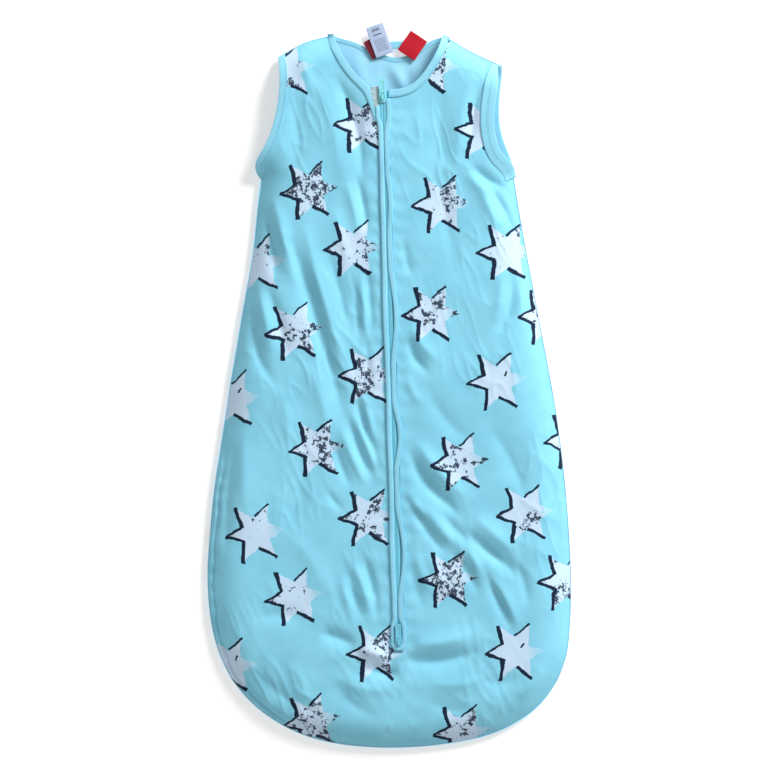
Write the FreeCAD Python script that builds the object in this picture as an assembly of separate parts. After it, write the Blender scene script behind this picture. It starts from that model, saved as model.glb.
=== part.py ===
"""Baby sleeping bag: a sleeveless, lined cotton bag with a two-way zip down its front.

It lies on its back on a surface. +X is to its right, seen from above, +Y runs to the neck and +Z up.
The origin is on the outside of the back, halfway along the bag. Lengths are millimetres.
"""
import FreeCAD, Part
import math
import os

from FreeCAD import Vector

# Driving dimensions of the bag, lying flat.
BAG_LENGTH = 790.0
NECK_HALF_WIDTH = 64.0
SHOULDER_HALF_WIDTH = 122.0
SHOULDER_DROP = 30.0
CHEST_HALF_WIDTH = 118.5
ARMPIT_HALF_WIDTH = 142.0
ARMPIT_DEPTH = 153.0
FRONT_NECK_DEPTH = 65.0
BACK_NECK_DEPTH = 27.0
HEM_HALF_WIDTH = 201.0
BINDING_WIDTH = 9.0

# Heights above the surface that the bag lies on.
CLOTH = 0.9
LAYER_GAP = 0.1
JOIN_GAP = 0.05
SEAM_BULK = 2.0
RIM_TOP = 4 * CLOTH + SEAM_BULK
FRONT_TOP = 24.0
BINDING_PROUD = 0.8
SEAM_WIDTH = 7.0

# The zip, in its own frame: u across, v along towards the neck, w up from the front's surface.
ZIP_LEAN = 1.7
ZIP_CENTRE_X = 1.8
ZIP_CENTRE_Y = 20.0
ZIP_TOP = 311.0
CHAIN_TOP = 307.2
CHAIN_BOTTOM = -303.0
SLIT_END = -306.5
LIP_INNER = 4.7
LIP_WIDTH = 5.6
TAPE = 0.6
TAPE_WIDTH = 14.0
COIL_GAP = 0.9
COIL_WIDTH = 2.2
COIL_HEIGHT = 2.0
STOP_LENGTH = 2.4
GUARD_HALF_WIDTH = 18.0

# The sliders and their pulls.
SLIDER_LENGTH = 11.6
SLIDER_HALF_WIDTH = 4.2
WING = 0.9
BRIDGE_HALF_WIDTH = 1.2
BRIDGE_REACH = 3.8
BRIDGE_RISE = 1.5
BRIDGE_WALL = 0.8
WEB_HALF_WIDTH = 0.75
PULL_HALF_WIDTH = 3.2
PULL_THICKNESS = 1.2
PULL_LENGTH = 20.0
PULL_EYE = 4.6
RUNNING_GAP = 0.2
UPPER_SLIDER_V = 301.0
LOWER_SLIDER_V = -296.0

# Labels and the loop at the back of the neck.
LABEL = 0.4
LABEL_GAP = 0.2

HALF_LENGTH = BAG_LENGTH / 2
SHOULDER_SLOPE = SHOULDER_DROP / (SHOULDER_HALF_WIDTH - NECK_HALF_WIDTH)
ARMPIT_Y = HALF_LENGTH - ARMPIT_DEPTH
FRONT_NECK_Y = HALF_LENGTH - FRONT_NECK_DEPTH
BACK_NECK_Y = HALF_LENGTH - BACK_NECK_DEPTH
SHOULDER_Y = HALF_LENGTH - SHOULDER_DROP
PRISM_LOW = -10.0
PRISM_HIGH = 60.0
TAPE_TOP = FRONT_TOP - 2 * CLOTH
TAPE_LOW = TAPE_TOP - TAPE
WING_TOP_LOW = TAPE_TOP + COIL_HEIGHT + RUNNING_GAP
WING_TOP = WING_TOP_LOW + WING
WING_LOW = TAPE_LOW - RUNNING_GAP - WING
PULL_AXIS_Z = WING_TOP + RUNNING_GAP + PULL_THICKNESS / 2


def smooth_edge(points, start=None, end=None):
    """A smooth curve through points, with optional directions at its two ends."""
    curve = Part.BSplineCurve()
    spots = [Vector(x, y, 0) for x, y in points]
    if start and end:
        curve.interpolate(spots, InitialTangent=Vector(*start, 0), FinalTangent=Vector(*end, 0))
    else:
        curve.interpolate(spots)
    return curve.toShape()


def line_edges(points):
    """Straight edges from each point to the next."""
    spots = [Vector(x, y, 0) for x, y in points]
    return [Part.makeLine(a, b) for a, b in zip(spots, spots[1:])]


def flat_face(edges):
    return Part.Face(Part.Wire(Part.__sortEdges__(edges)))


def prism(face, low=PRISM_LOW, high=PRISM_HIGH):
    """The face, a drawing in the XY plane, as an upright solid between two heights."""
    lifted = face.copy()
    lifted.translate(Vector(0, 0, low))
    return lifted.extrude(Vector(0, 0, high - low))


def mirrored(shape):
    """The shape's mirror image on the other side of the middle plane."""
    return shape.mirror(Vector(0, 0, 0), Vector(1, 0, 0))


def side_edge():
    """The right-hand side seam, from the armpit round to the middle of the hem."""
    points = [
        (ARMPIT_HALF_WIDTH, ARMPIT_Y),
        (ARMPIT_HALF_WIDTH + 4, ARMPIT_Y - 50),
        (160, 88),
        (179, -15),
        (194, -97),
        (HEM_HALF_WIDTH, -200),
        (HEM_HALF_WIDTH - 5, -270),
        (HEM_HALF_WIDTH - 23, -322),
        (147, -357),
        (92, -384),
        (0, -HALF_LENGTH),
    ]
    return smooth_edge(points, start=(0, -1), end=(-1, 0))


def moved_edge(edge, distance, count=40):
    """The curve, moved sideways by distance to the left of its direction."""
    first, last = edge.ParameterRange
    spots = []
    for i in range(count + 1):
        place = first + (last - first) * i / count
        along = edge.tangentAt(place)
        point = edge.valueAt(place)
        spots.append((point.x - along.y * distance, point.y + along.x * distance))
    return smooth_edge(spots)


def blank(margin=0.0):
    """The bag's outline, or a line inside it, with the shoulders run on over neck and armholes."""
    side = moved_edge(side_edge(), -margin) if margin else side_edge()
    start = side.Vertexes[0].Point
    drop = margin * math.hypot(1, SHOULDER_SLOPE)
    corner = HALF_LENGTH - SHOULDER_SLOPE * (start.x - NECK_HALF_WIDTH) - drop
    peak = HALF_LENGTH + SHOULDER_SLOPE * NECK_HALF_WIDTH - drop
    right = [side] + line_edges([(start.x, start.y), (start.x, corner), (0, peak)])
    return flat_face(right + [mirrored(edge) for edge in right])


def neck_cutter(depth, shoulder_x, shoulder_rise, margin=0.0):
    """The plan of one neckline's opening and a margin, closed above the shoulders."""
    bottom = HALF_LENGTH - depth
    half = [(shoulder_x, bottom + shoulder_rise), (NECK_HALF_WIDTH, HALF_LENGTH)]
    middle = [(0.38 * NECK_HALF_WIDTH, bottom + 0.04 * depth)]
    right = middle + half
    left = [(-x, y) for x, y in reversed(right)]
    curve = smooth_edge(left + [(0, bottom)] + right)
    edge = moved_edge(curve, -margin) if margin else curve
    start, end = edge.Vertexes[0].Point, edge.Vertexes[-1].Point
    above = HALF_LENGTH + 60
    ends = [(end.x, end.y), (end.x, above), (start.x, above), (start.x, start.y)]
    return flat_face([edge] + line_edges(ends))


def arm_cutter(margin=0.0):
    """The plan of the right armhole's opening and a margin, closed beyond the side of the bag."""
    armhole = smooth_edge([
        (SHOULDER_HALF_WIDTH + 2, SHOULDER_Y + 20),
        (SHOULDER_HALF_WIDTH, SHOULDER_Y),
        (CHEST_HALF_WIDTH, SHOULDER_Y - 40),
        (CHEST_HALF_WIDTH + 2.5, SHOULDER_Y - 62),
        (CHEST_HALF_WIDTH + 10.5, SHOULDER_Y - 87),
        (ARMPIT_HALF_WIDTH, ARMPIT_Y),
        (ARMPIT_HALF_WIDTH + 16, ARMPIT_Y - 30),
    ])
    edge = moved_edge(armhole, -margin) if margin else armhole
    start, end = edge.Vertexes[0].Point, edge.Vertexes[-1].Point
    outside = ARMPIT_HALF_WIDTH + 60
    ends = [(start.x, start.y), (outside, start.y), (outside, end.y), (end.x, end.y)]
    return flat_face([edge] + line_edges(ends))


def width_table(edge, count=160):
    """Points of the side seam as (y, x), from the hem up, for reading the bag's width at a height."""
    first, last = edge.ParameterRange
    steps = [first + (last - first) * i / count for i in range(count + 1)]
    return sorted((edge.valueAt(s).y, edge.valueAt(s).x) for s in steps)


def width_at(y, table):
    """Half the bag's width at y. Above the armpits it runs on almost straight."""
    if y >= table[-1][0]:
        return table[-1][1] + 0.1 * (y - table[-1][0])
    if y <= table[0][0]:
        return 0.0
    for (low, x0), (high, x1) in zip(table, table[1:]):
        if low <= y <= high:
            return x0 + (x1 - x0) * (y - low) / max(high - low, 1e-6)
    return 0.0


def rounded(distance, reach):
    """0 at the edge, rising like a soft dome to 1 at reach from it."""
    share = min(max(distance / reach, 0.0), 1.0)
    return 1 - (1 - share) ** 2


def front_height(x, y, table):
    """Height of the front's outer surface: flat in the middle, and down to the seams all round."""
    rim = 4.0
    side = rounded(width_at(y, table) - abs(x) - rim, 45.0)
    hem = rounded(y + HALF_LENGTH - rim, 75.0)
    cosine = math.cos(math.atan(SHOULDER_SLOPE))
    shoulder_line = HALF_LENGTH - SHOULDER_SLOPE * (abs(x) - NECK_HALF_WIDTH)
    shoulder = rounded((shoulder_line - y) * cosine - rim, 40.0)
    return RIM_TOP + (FRONT_TOP - RIM_TOP) * side * hem * shoulder


def front_surface(table):
    """The front's outer surface as one smooth face over the whole plan."""
    step_x, step_y, degree = 15.0, 20.0, 3
    xs = [step_x * i for i in range(-15, 16)]
    ys = [step_y * i for i in range(-21, 24)]
    poles = [[Vector(x, y, front_height(x, y, table)) for y in ys] for x in xs]

    def knots(count):
        inner = count - degree - 1
        values = [float(i) for i in range(inner + 2)]
        return values, [degree + 1] + [1] * inner + [degree + 1]

    u_knots, u_mults = knots(len(xs))
    v_knots, v_mults = knots(len(ys))
    surface = Part.BSplineSurface()
    surface.buildFromPolesMultsKnots(
        poles, u_mults, v_mults, u_knots, v_knots, False, False, degree, degree
    )
    return surface.toShape()


def layer(face, low, thickness):
    """A solid of even height that follows the face, from low above it."""
    lifted = face.copy()
    lifted.translate(Vector(0, 0, low))
    return lifted.extrude(Vector(0, 0, thickness))


def zip_placed(shape):
    """Moves a shape from the zip's frame to the bag's."""
    shape.rotate(Vector(0, 0, 0), Vector(0, 0, 1), ZIP_LEAN)
    shape.translate(Vector(ZIP_CENTRE_X, ZIP_CENTRE_Y, 0))
    return shape


def slot_face(half_width, bottom, top):
    """A strip along the zip with a half-round lower end."""
    spring = bottom + half_width
    arc = Part.Arc(
        Vector(-half_width, spring, 0), Vector(0, bottom, 0), Vector(half_width, spring, 0)
    ).toShape()
    ends = [(half_width, spring), (half_width, top), (-half_width, top), (-half_width, spring)]
    return flat_face([arc] + line_edges(ends))


def box(u0, u1, v0, v1, z0, z1):
    return Part.makeBox(u1 - u0, v1 - v0, z1 - z0, Vector(u0, v0, z0))


def slider_body(nose):
    """A slider at the middle of the zip's frame. nose is +1 if its wide end faces the neck."""
    half = SLIDER_LENGTH / 2
    waist = 0.72 * SLIDER_HALF_WIDTH
    plan = [(-waist, -half * nose), (-SLIDER_HALF_WIDTH, 0.1 * half * nose)]
    plan += [(-SLIDER_HALF_WIDTH, 0.55 * half * nose), (-0.35 * SLIDER_HALF_WIDTH, half * nose)]
    outline = plan + [(-u, v) for u, v in reversed(plan)]
    wing = flat_face(line_edges(outline + outline[:1]))
    upper = prism(wing, WING_TOP_LOW, WING_TOP)
    lower = prism(wing, WING_LOW, WING_LOW + WING)
    flange_low = TAPE_TOP + RUNNING_GAP
    inner = COIL_GAP + COIL_WIDTH + RUNNING_GAP
    skirt = prism(wing, flange_low, WING_TOP_LOW)
    skirt = skirt.cut(box(-inner, inner, -half - 1, half + 1, flange_low - 1, WING_TOP_LOW + 1))
    web = box(-WEB_HALF_WIDTH, WEB_HALF_WIDTH, 0, 0.75 * half, WING_LOW, WING_TOP)
    if nose < 0:
        web = box(-WEB_HALF_WIDTH, WEB_HALF_WIDTH, -0.75 * half, 0, WING_LOW, WING_TOP)
    body = upper.fuse([lower, skirt, web, bridge()])
    return body.removeSplitter()


def bridge():
    """The arch on a slider that holds its pull."""
    clear = PULL_THICKNESS + 2 * RUNNING_GAP
    top = WING_TOP + clear + BRIDGE_WALL
    reach = BRIDGE_REACH
    span = reach - BRIDGE_WALL
    rise = top - WING_TOP
    outer = [(-reach, 0), (-reach + 0.5, rise - 0.5), (-reach + 1.2, rise)]
    inner = [(-span, 0), (-span + 0.4, clear - 0.4), (-span + 0.8, clear)]
    ring = outer + [(-a, b) for a, b in reversed(outer)]
    hole = inner + [(-a, b) for a, b in reversed(inner)]

    def upright(points):
        spots = [Vector(-BRIDGE_HALF_WIDTH, v, WING_TOP + z) for v, z in points]
        spots.append(spots[0])
        face = Part.Face(Part.makePolygon(spots))
        return face.extrude(Vector(2 * BRIDGE_HALF_WIDTH, 0, 0))

    return upright(ring).cut(upright(hole))


def pull():
    """A pull at the middle of the zip's frame, lying flat and pointing to the neck."""
    radius = PULL_THICKNESS / 2
    low, high = PULL_AXIS_Z - radius, PULL_AXIS_Z + radius
    side = PULL_HALF_WIDTH
    tip = PULL_LENGTH
    plate = box(-side, side, 0, tip, low, high)
    uprights = [e for e in plate.Edges if abs(e.Vertexes[0].Z - e.Vertexes[1].Z) > 0.1]
    corners = [e for e in uprights if abs(e.CenterOfMass.y - tip) < 1e-6]
    plate = plate.makeFillet(1.6, corners)
    arm = BRIDGE_HALF_WIDTH + 0.5
    plate = plate.cut(box(-arm, arm, -1, PULL_EYE, low - 1, high + 1))
    bar = Part.makeCylinder(radius, 2 * side, Vector(-side, 0, PULL_AXIS_Z), Vector(1, 0, 0))
    grip = box(-side + 1.5, side - 1.5, PULL_EYE + 3.0, tip - 3.0, high - 0.3, high + 1)
    return plate.fuse(bar).cut(grip).removeSplitter()


def label(width, length, x, y, z, lean, thickness=LABEL):
    """A flat label sewn by its lower edge at (x, y), leaning to the left by lean degrees."""
    plate = box(-width / 2, width / 2, 0, length, z, z + thickness)
    plate.rotate(Vector(0, 0, 0), Vector(0, 0, 1), lean)
    plate.translate(Vector(x, y, 0))
    return plate


def hanger_loop(low):
    """A flat loop of tape, standing past the back of the neck, with room for a hook."""
    def arch(half, top):
        spring = top - half
        over = Part.Arc(Vector(half, spring, 0), Vector(0, top, 0), Vector(-half, spring, 0)).toShape()
        sides = [(-half, spring), (-half, -2), (half, -2), (half, spring)]
        return flat_face([over] + line_edges(sides))

    outer = prism(arch(19.0, 21.0), low, low + 0.8)
    inner = prism(arch(12.0, 13.5), low - 1, low + 2)
    feet = box(-12.0, 12.0, -2.0, 1.0, low, low + 0.8)
    loop = outer.cut(inner).fuse(feet).removeSplitter()
    loop.translate(Vector(10.0, BACK_NECK_Y + 1.5, 0))
    return loop


def build():
    """Every piece of the bag by name."""
    outline = prism(blank())
    table = width_table(side_edge())
    surface = front_surface(table)
    front_neck = (FRONT_NECK_DEPTH, 0.80 * NECK_HALF_WIDTH, 0.24 * FRONT_NECK_DEPTH)
    back_neck = (BACK_NECK_DEPTH, 0.74 * NECK_HALF_WIDTH, 0.42 * BACK_NECK_DEPTH)
    arm = arm_cutter()
    arms = [prism(arm), prism(mirrored(arm))]
    wide_arm = arm_cutter(BINDING_WIDTH)
    wide_arms = [prism(wide_arm), prism(mirrored(wide_arm))]
    neck_hole, back_hole = prism(neck_cutter(*front_neck)), prism(neck_cutter(*back_neck))
    wide_neck = prism(neck_cutter(*front_neck, margin=BINDING_WIDTH))
    wide_back = prism(neck_cutter(*back_neck, margin=BINDING_WIDTH))
    panel_neck = prism(neck_cutter(*front_neck, margin=BINDING_WIDTH + JOIN_GAP))
    panel_back = prism(neck_cutter(*back_neck, margin=BINDING_WIDTH + JOIN_GAP))
    slit = zip_placed(prism(slot_face(LIP_INNER + LIP_WIDTH, SLIT_END - LIP_WIDTH, ZIP_TOP + 60)))
    slit_hole = zip_placed(prism(slot_face(LIP_INNER, SLIT_END, ZIP_TOP + 60)))

    panel_arm = arm_cutter(BINDING_WIDTH + JOIN_GAP)
    panel_arms = [prism(panel_arm), prism(mirrored(panel_arm))]
    front_plan = outline.cut([panel_neck, slit] + panel_arms)
    back_plan = outline.cut([panel_back] + panel_arms)
    front_open = outline.cut([neck_hole] + arms)
    back_open = outline.cut([back_hole] + arms)
    two = 2 * CLOTH

    pieces = {}
    pieces["front_shell"] = layer(surface, -CLOTH, CLOTH).common(front_plan)
    pieces["front_lining"] = layer(surface, -two, CLOTH - LAYER_GAP).common(front_plan)
    pieces["back_shell"] = back_plan.common(box(-300, 300, -500, 500, 0, CLOTH))
    pieces["back_lining"] = back_plan.common(box(-300, 300, -500, 500, CLOTH, two))

    front_edge = layer(surface, -two, two + BINDING_PROUD).common(front_open)
    back_edge = back_open.common(box(-300, 300, -500, 500, 0, two + BINDING_PROUD))
    neck_front = front_edge.common(wide_neck).cut([slit] + wide_arms)
    neck_back = back_edge.common(wide_back).cut(wide_arms)
    pieces["neck_binding"] = Part.makeCompound(neck_front.Solids + neck_back.Solids)
    for side, wide in zip(("right", "left"), wide_arms):
        halves = front_edge.common(wide).Solids + back_edge.common(wide).Solids
        pieces[f"armhole_binding_{side}"] = Part.makeCompound(halves)

    between = layer(surface, -40, 40 - two - LAYER_GAP).cut(box(-300, 300, -500, 500, -50, two))
    rim = outline.cut(prism(blank(SEAM_WIDTH)))
    seams = between.common(rim).cut([panel_neck, panel_back] + panel_arms)
    for solid in seams.Solids:
        centre = solid.CenterOfMass
        if centre.y < ARMPIT_Y - 100:
            name = "side_and_hem_seam"
        else:
            name = "shoulder_seam_right" if centre.x > 0 else "shoulder_seam_left"
        pieces[name] = solid

    pieces.update(zip_pieces(front_open, slit, slit_hole))
    pieces.update(label_pieces(two + BINDING_PROUD))
    return pieces


def zip_pieces(front_open, slit, slit_hole):
    """The bound slit, the tapes and coils, the stops and the two sliders."""
    pieces = {}
    lips = slit.cut(slit_hole).common(front_open)
    pieces["zip_opening_binding"] = lips.common(
        box(-300, 300, -500, 500, TAPE_TOP, FRONT_TOP + BINDING_PROUD)
    )
    tape_end = SLIT_END - LIP_WIDTH - 6
    for side, sign in (("right", 1), ("left", -1)):
        near, far = sorted((sign * COIL_GAP, sign * TAPE_WIDTH))
        tape = zip_placed(box(near, far, tape_end, ZIP_TOP, TAPE_LOW, TAPE_TOP))
        pieces[f"zip_tape_{side}"] = tape.common(front_open)
        near, far = sorted((sign * COIL_GAP, sign * (COIL_GAP + COIL_WIDTH)))
        pieces[f"zip_coil_{side}"] = zip_placed(
            box(near, far, CHAIN_BOTTOM, CHAIN_TOP, TAPE_TOP, TAPE_TOP + COIL_HEIGHT)
        )
    stops = []
    for sign in (1, -1):
        near, far = sorted((sign * COIL_GAP, sign * (COIL_GAP + COIL_WIDTH + 0.6)))
        stops.append(box(near, far, CHAIN_TOP, CHAIN_TOP + STOP_LENGTH, TAPE_TOP, WING_TOP_LOW))
    pieces["zip_top_stops"] = zip_placed(Part.makeCompound(stops))
    across = COIL_GAP + COIL_WIDTH + 0.6
    low = CHAIN_BOTTOM - 0.2
    pieces["zip_bottom_stop"] = zip_placed(
        box(-across, across, low - 1.1, low, TAPE_TOP, WING_TOP_LOW)
    )
    guard_top = WING_LOW - 0.4
    half = GUARD_HALF_WIDTH
    guard = box(-half, half - 2, tape_end, ZIP_TOP - 4, guard_top - CLOTH, guard_top)
    edge = box(-half, -half + CLOTH, tape_end, ZIP_TOP - 16, guard_top, TAPE_TOP)
    pieces["zip_guard"] = zip_placed(guard.fuse(edge).removeSplitter())
    for name, nose, place in (("upper", 1, UPPER_SLIDER_V), ("lower", -1, LOWER_SLIDER_V)):
        for part_name, shape in (("slider", slider_body(nose)), ("pull", pull())):
            shape.translate(Vector(0, place, 0))
            pieces[f"{name}_{part_name}"] = zip_placed(shape)
    return pieces


def label_pieces(lowest):
    """The labels and the hanging loop, sewn in at the back of the neck."""
    loop_low = lowest
    first = loop_low + 0.8 + LABEL_GAP
    second = first + LABEL + LABEL_GAP
    seam_y = BACK_NECK_Y + 3
    return {
        "hanger_loop": hanger_loop(loop_low),
        "size_label": label(22.0, 21.0, -11.0, seam_y, first, 24.0),
        "care_label": label(19.0, 33.0, -4.0, seam_y, second, 22.0),
        "tab_label": label(21.0, 24.0, 24.0, seam_y - 2, first, -32.0, thickness=1.2),
    }


def only_solids(shape):
    """The shape without the wrapping that cuts leave on it."""
    solids = shape.Solids
    return solids[0] if len(solids) == 1 else Part.makeCompound(solids)


def main():
    os.makedirs("parts", exist_ok=True)
    for name, raw in build().items():
        shape = only_solids(raw)
        shape.exportStep(f"parts/{name}.step")
        bounds = shape.BoundBox
        heights = round(bounds.ZMin, 2), round(bounds.ZMax, 2)
        print(name, len(shape.Solids), shape.isValid(), round(shape.Volume), heights)


main()
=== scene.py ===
"""The looks of a baby sleeping bag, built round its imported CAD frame.

Sizes are millimetres until they go into a mesh, unless a comment says metres.
"""

import math

import bpy
import numpy as np
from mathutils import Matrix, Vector, noise


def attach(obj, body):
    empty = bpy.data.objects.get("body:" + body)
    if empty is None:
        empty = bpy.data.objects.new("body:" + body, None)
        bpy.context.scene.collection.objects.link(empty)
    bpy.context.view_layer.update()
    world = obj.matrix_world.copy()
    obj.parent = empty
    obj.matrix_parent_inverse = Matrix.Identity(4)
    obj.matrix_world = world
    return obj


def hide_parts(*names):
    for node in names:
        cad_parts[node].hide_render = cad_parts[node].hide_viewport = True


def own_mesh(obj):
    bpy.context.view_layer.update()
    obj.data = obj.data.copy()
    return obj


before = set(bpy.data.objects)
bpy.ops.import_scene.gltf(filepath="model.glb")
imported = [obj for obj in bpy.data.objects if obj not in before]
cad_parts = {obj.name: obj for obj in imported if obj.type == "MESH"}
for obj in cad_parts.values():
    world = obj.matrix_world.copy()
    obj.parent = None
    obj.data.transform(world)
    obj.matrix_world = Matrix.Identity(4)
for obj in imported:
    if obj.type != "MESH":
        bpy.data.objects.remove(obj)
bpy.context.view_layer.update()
scene = bpy.context.scene
MM = 0.001

# ---------------------------------------------------------------- camera

camera = bpy.data.objects.new("Camera", bpy.data.cameras.new("Camera"))
scene.collection.objects.link(camera)
camera.data.sensor_width = 36.0
camera.data.lens = 84.7
camera.location = (-0.006, 0.0074, 2.0)
scene.camera = camera
scene.view_settings.view_transform = "Standard"
scene.view_settings.look = "None"

# ---------------------------------------------------------------- shapes

LEAN = math.radians(1.7)
ZIP_X, ZIP_Y = 1.8, 20.0
# Heights above what the bag lies on: the side seam, the front's top and the back's underside.
SEAM_Z, TOP_Z, BACK_Z = 5.2, 23.6, 0.35
# How far in from the side seam and from the shoulders the front rises to its full height.
SIDE_RUN, SHOULDER_RUN = 46.0, 34.0
FOLD_GAIN = 1.2
# The slit in the front, in the zip's coordinates.
SLIT_U, SLIT_HALF, SLIT_LOW = 0.8, 5.2, -303
BAND_SIDES = 20
TAPER_RUN = 26


def unzip(x, y):
    """Bag coordinates to the zip's: u across it and v along it."""
    dx, dy = x - ZIP_X, y - ZIP_Y
    return dx * math.cos(LEAN) + dy * math.sin(LEAN), dy * math.cos(LEAN) - dx * math.sin(LEAN)


def zipped(u, v):
    """The zip's coordinates to the bag's."""
    u, v = np.asarray(u, float), np.asarray(v, float)
    return ZIP_X + u * math.cos(LEAN) - v * math.sin(LEAN), ZIP_Y + u * math.sin(LEAN) + v * math.cos(LEAN)


def second_slopes(t, p):
    """The second slopes of a natural cubic spline through points p at places t."""
    n = len(t)
    h = np.diff(t)
    a = np.zeros((n, n))
    r = np.zeros((n, p.shape[1]))
    a[0, 0] = a[-1, -1] = 1.0
    for i in range(1, n - 1):
        a[i, i - 1], a[i, i], a[i, i + 1] = h[i - 1], 2 * (h[i - 1] + h[i]), h[i]
        r[i] = 6 * ((p[i + 1] - p[i]) / h[i] - (p[i] - p[i - 1]) / h[i - 1])
    return np.linalg.solve(a, r)


def curve(points, count=None, step=None):
    """Evenly spaced points along a smooth curve through the given ones."""
    p = np.array(points, float)
    t = np.r_[0, np.cumsum(np.sqrt(np.linalg.norm(np.diff(p, axis=0), axis=1)))]
    m = second_slopes(t, p)
    at = np.concatenate([np.linspace(t[i], t[i + 1], 24, endpoint=False)
                         for i in range(len(t) - 1)] + [[t[-1]]])
    i = np.clip(np.searchsorted(t, at, side="right") - 1, 0, len(t) - 2)
    h = (t[i + 1] - t[i])[:, None]
    a, b = (t[i + 1] - at)[:, None], (at - t[i])[:, None]
    dense = m[i] * a**3 / (6 * h) + m[i + 1] * b**3 / (6 * h)
    dense += (p[i] / h - m[i] * h / 6) * a + (p[i + 1] / h - m[i + 1] * h / 6) * b
    return even(dense, count, step)


def even(dense, count=None, step=None):
    """The same line with evenly spaced points, count of them or about step apart."""
    run = np.r_[0, np.cumsum(np.linalg.norm(np.diff(dense, axis=0), axis=1))]
    if count is None:
        count = max(2, int(round(run[-1] / step)) + 1)
    s = np.linspace(0, run[-1], count)
    return np.stack([np.interp(s, run, dense[:, k]) for k in range(dense.shape[1])], 1)


def path(*pieces):
    """Several smooth curves joined at corners, as one dense line."""
    lines = [curve(p, step=1.0) for p in pieces]
    return np.vstack([lines[0]] + [line[1:] for line in lines[1:]])


# The bag's outlines as it lies, each drawn from the hem up.
LEFT_SIDE = [(-174, -319), (-187, -292), (-195, -264), (-199, -236), (-200.5, -200), (-198, -160),
             (-193, -108), (-185, -55), (-177, -2), (-168, 51), (-159, 104), (-150, 157), (-145, 205),
             (-141, 234)]
RIGHT_SIDE = [(187, -319), (196, -293), (199.5, -266), (201, -236), (201, -200), (199, -160),
              (195, -108), (189, -55), (181, -2), (171, 51), (161, 104), (151, 157), (142, 209),
              (138, 234)]
HEM = [(-174, -319), (-152, -345), (-116, -371), (-70, -388), (0, -395), (66, -390.5), (110, -381),
       (143, -366), (170, -344), (187, -319)]
LEFT_ARM = [(-141, 234), (-145, 243), (-143.5, 252), (-134, 268), (-126, 288), (-120.5, 311),
            (-118, 336), (-118.5, 354), (-121, 369)]
RIGHT_ARM = [(138, 234), (132, 246), (121, 257), (114, 273), (111, 294), (112.5, 318), (116.5, 341),
             (120, 359)]
RIGHT_ARM_BACK = [(138, 234), (136, 248), (130.5, 264), (123.5, 284), (121, 303), (122, 331),
                  (124, 348), (123.5, 359)]
LEFT_SHOULDER = [(-121, 369), (-107, 377), (-90, 385), (-66, 391)]
RIGHT_SHOULDER = [(120, 359), (104, 367), (85, 377), (64, 390)]
FRONT_NECK = [(-66, 391), (-62.5, 379), (-51, 357), (-38, 341), (-28, 331), (-20, 322), (-8, 321),
              (12, 322.5), (27, 327), (41, 339), (52, 354), (61, 372), (64, 390)]
BACK_NECK = [(-66, 391), (-52, 388), (-38, 384), (-22, 376), (-6, 370), (8, 367), (22, 370), (34, 377),
             (48, 386), (64, 390)]


def coons(bottom, top, left, right, ns, nt, spread_s, spread_t):
    """A grid between four curves that meet at their ends."""
    s, t = spread_s(np.linspace(0, 1, ns)), spread_t(np.linspace(0, 1, nt))

    def at(line, q):
        run = np.r_[0, np.cumsum(np.linalg.norm(np.diff(line, axis=0), axis=1))]
        return np.stack([np.interp(q * run[-1], run, line[:, k]) for k in range(2)], 1)

    b, u, le, ri = at(bottom, s), at(top, s), at(left, t), at(right, t)
    S, T = s[None, :, None], t[:, None, None]
    grid = (1 - T) * b[None] + T * u[None] + (1 - S) * le[:, None] + S * ri[:, None]
    grid -= (1 - S) * (1 - T) * b[0] + S * (1 - T) * b[-1] + (1 - S) * T * u[0] + S * T * u[-1]
    return grid


def nearest(points, line, chunk=4000):
    """How far each point is from a line."""
    out = np.empty(len(points))
    a, d = line[:-1], np.diff(line, axis=0)
    length = (d**2).sum(1)
    for k in range(0, len(points), chunk):
        p = points[k : k + chunk, None, :]
        q = np.clip(((p - a) * d).sum(2) / length, 0, 1)
        out[k : k + chunk] = np.sqrt(((p - a - q[..., None] * d) ** 2).sum(2).min(1))
    return out


def smooth(x, low, high):
    """0 at low and 1 at high, with soft ends."""
    q = np.clip((x - low) / (high - low), 0, 1)
    return q * q * (3 - 2 * q)


left_side, right_side, hem = curve(LEFT_SIDE, step=4.0), curve(RIGHT_SIDE, step=4.0), curve(HEM, step=4.0)
seam_line = np.vstack([left_side[::-1], hem[1:], right_side[1:]])
shoulder_lines = [curve(LEFT_SHOULDER, step=6.0), curve(RIGHT_SHOULDER, step=6.0)]
trim_lines = [curve(line, step=5.0) for line in (LEFT_ARM, RIGHT_ARM, FRONT_NECK)]

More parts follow.
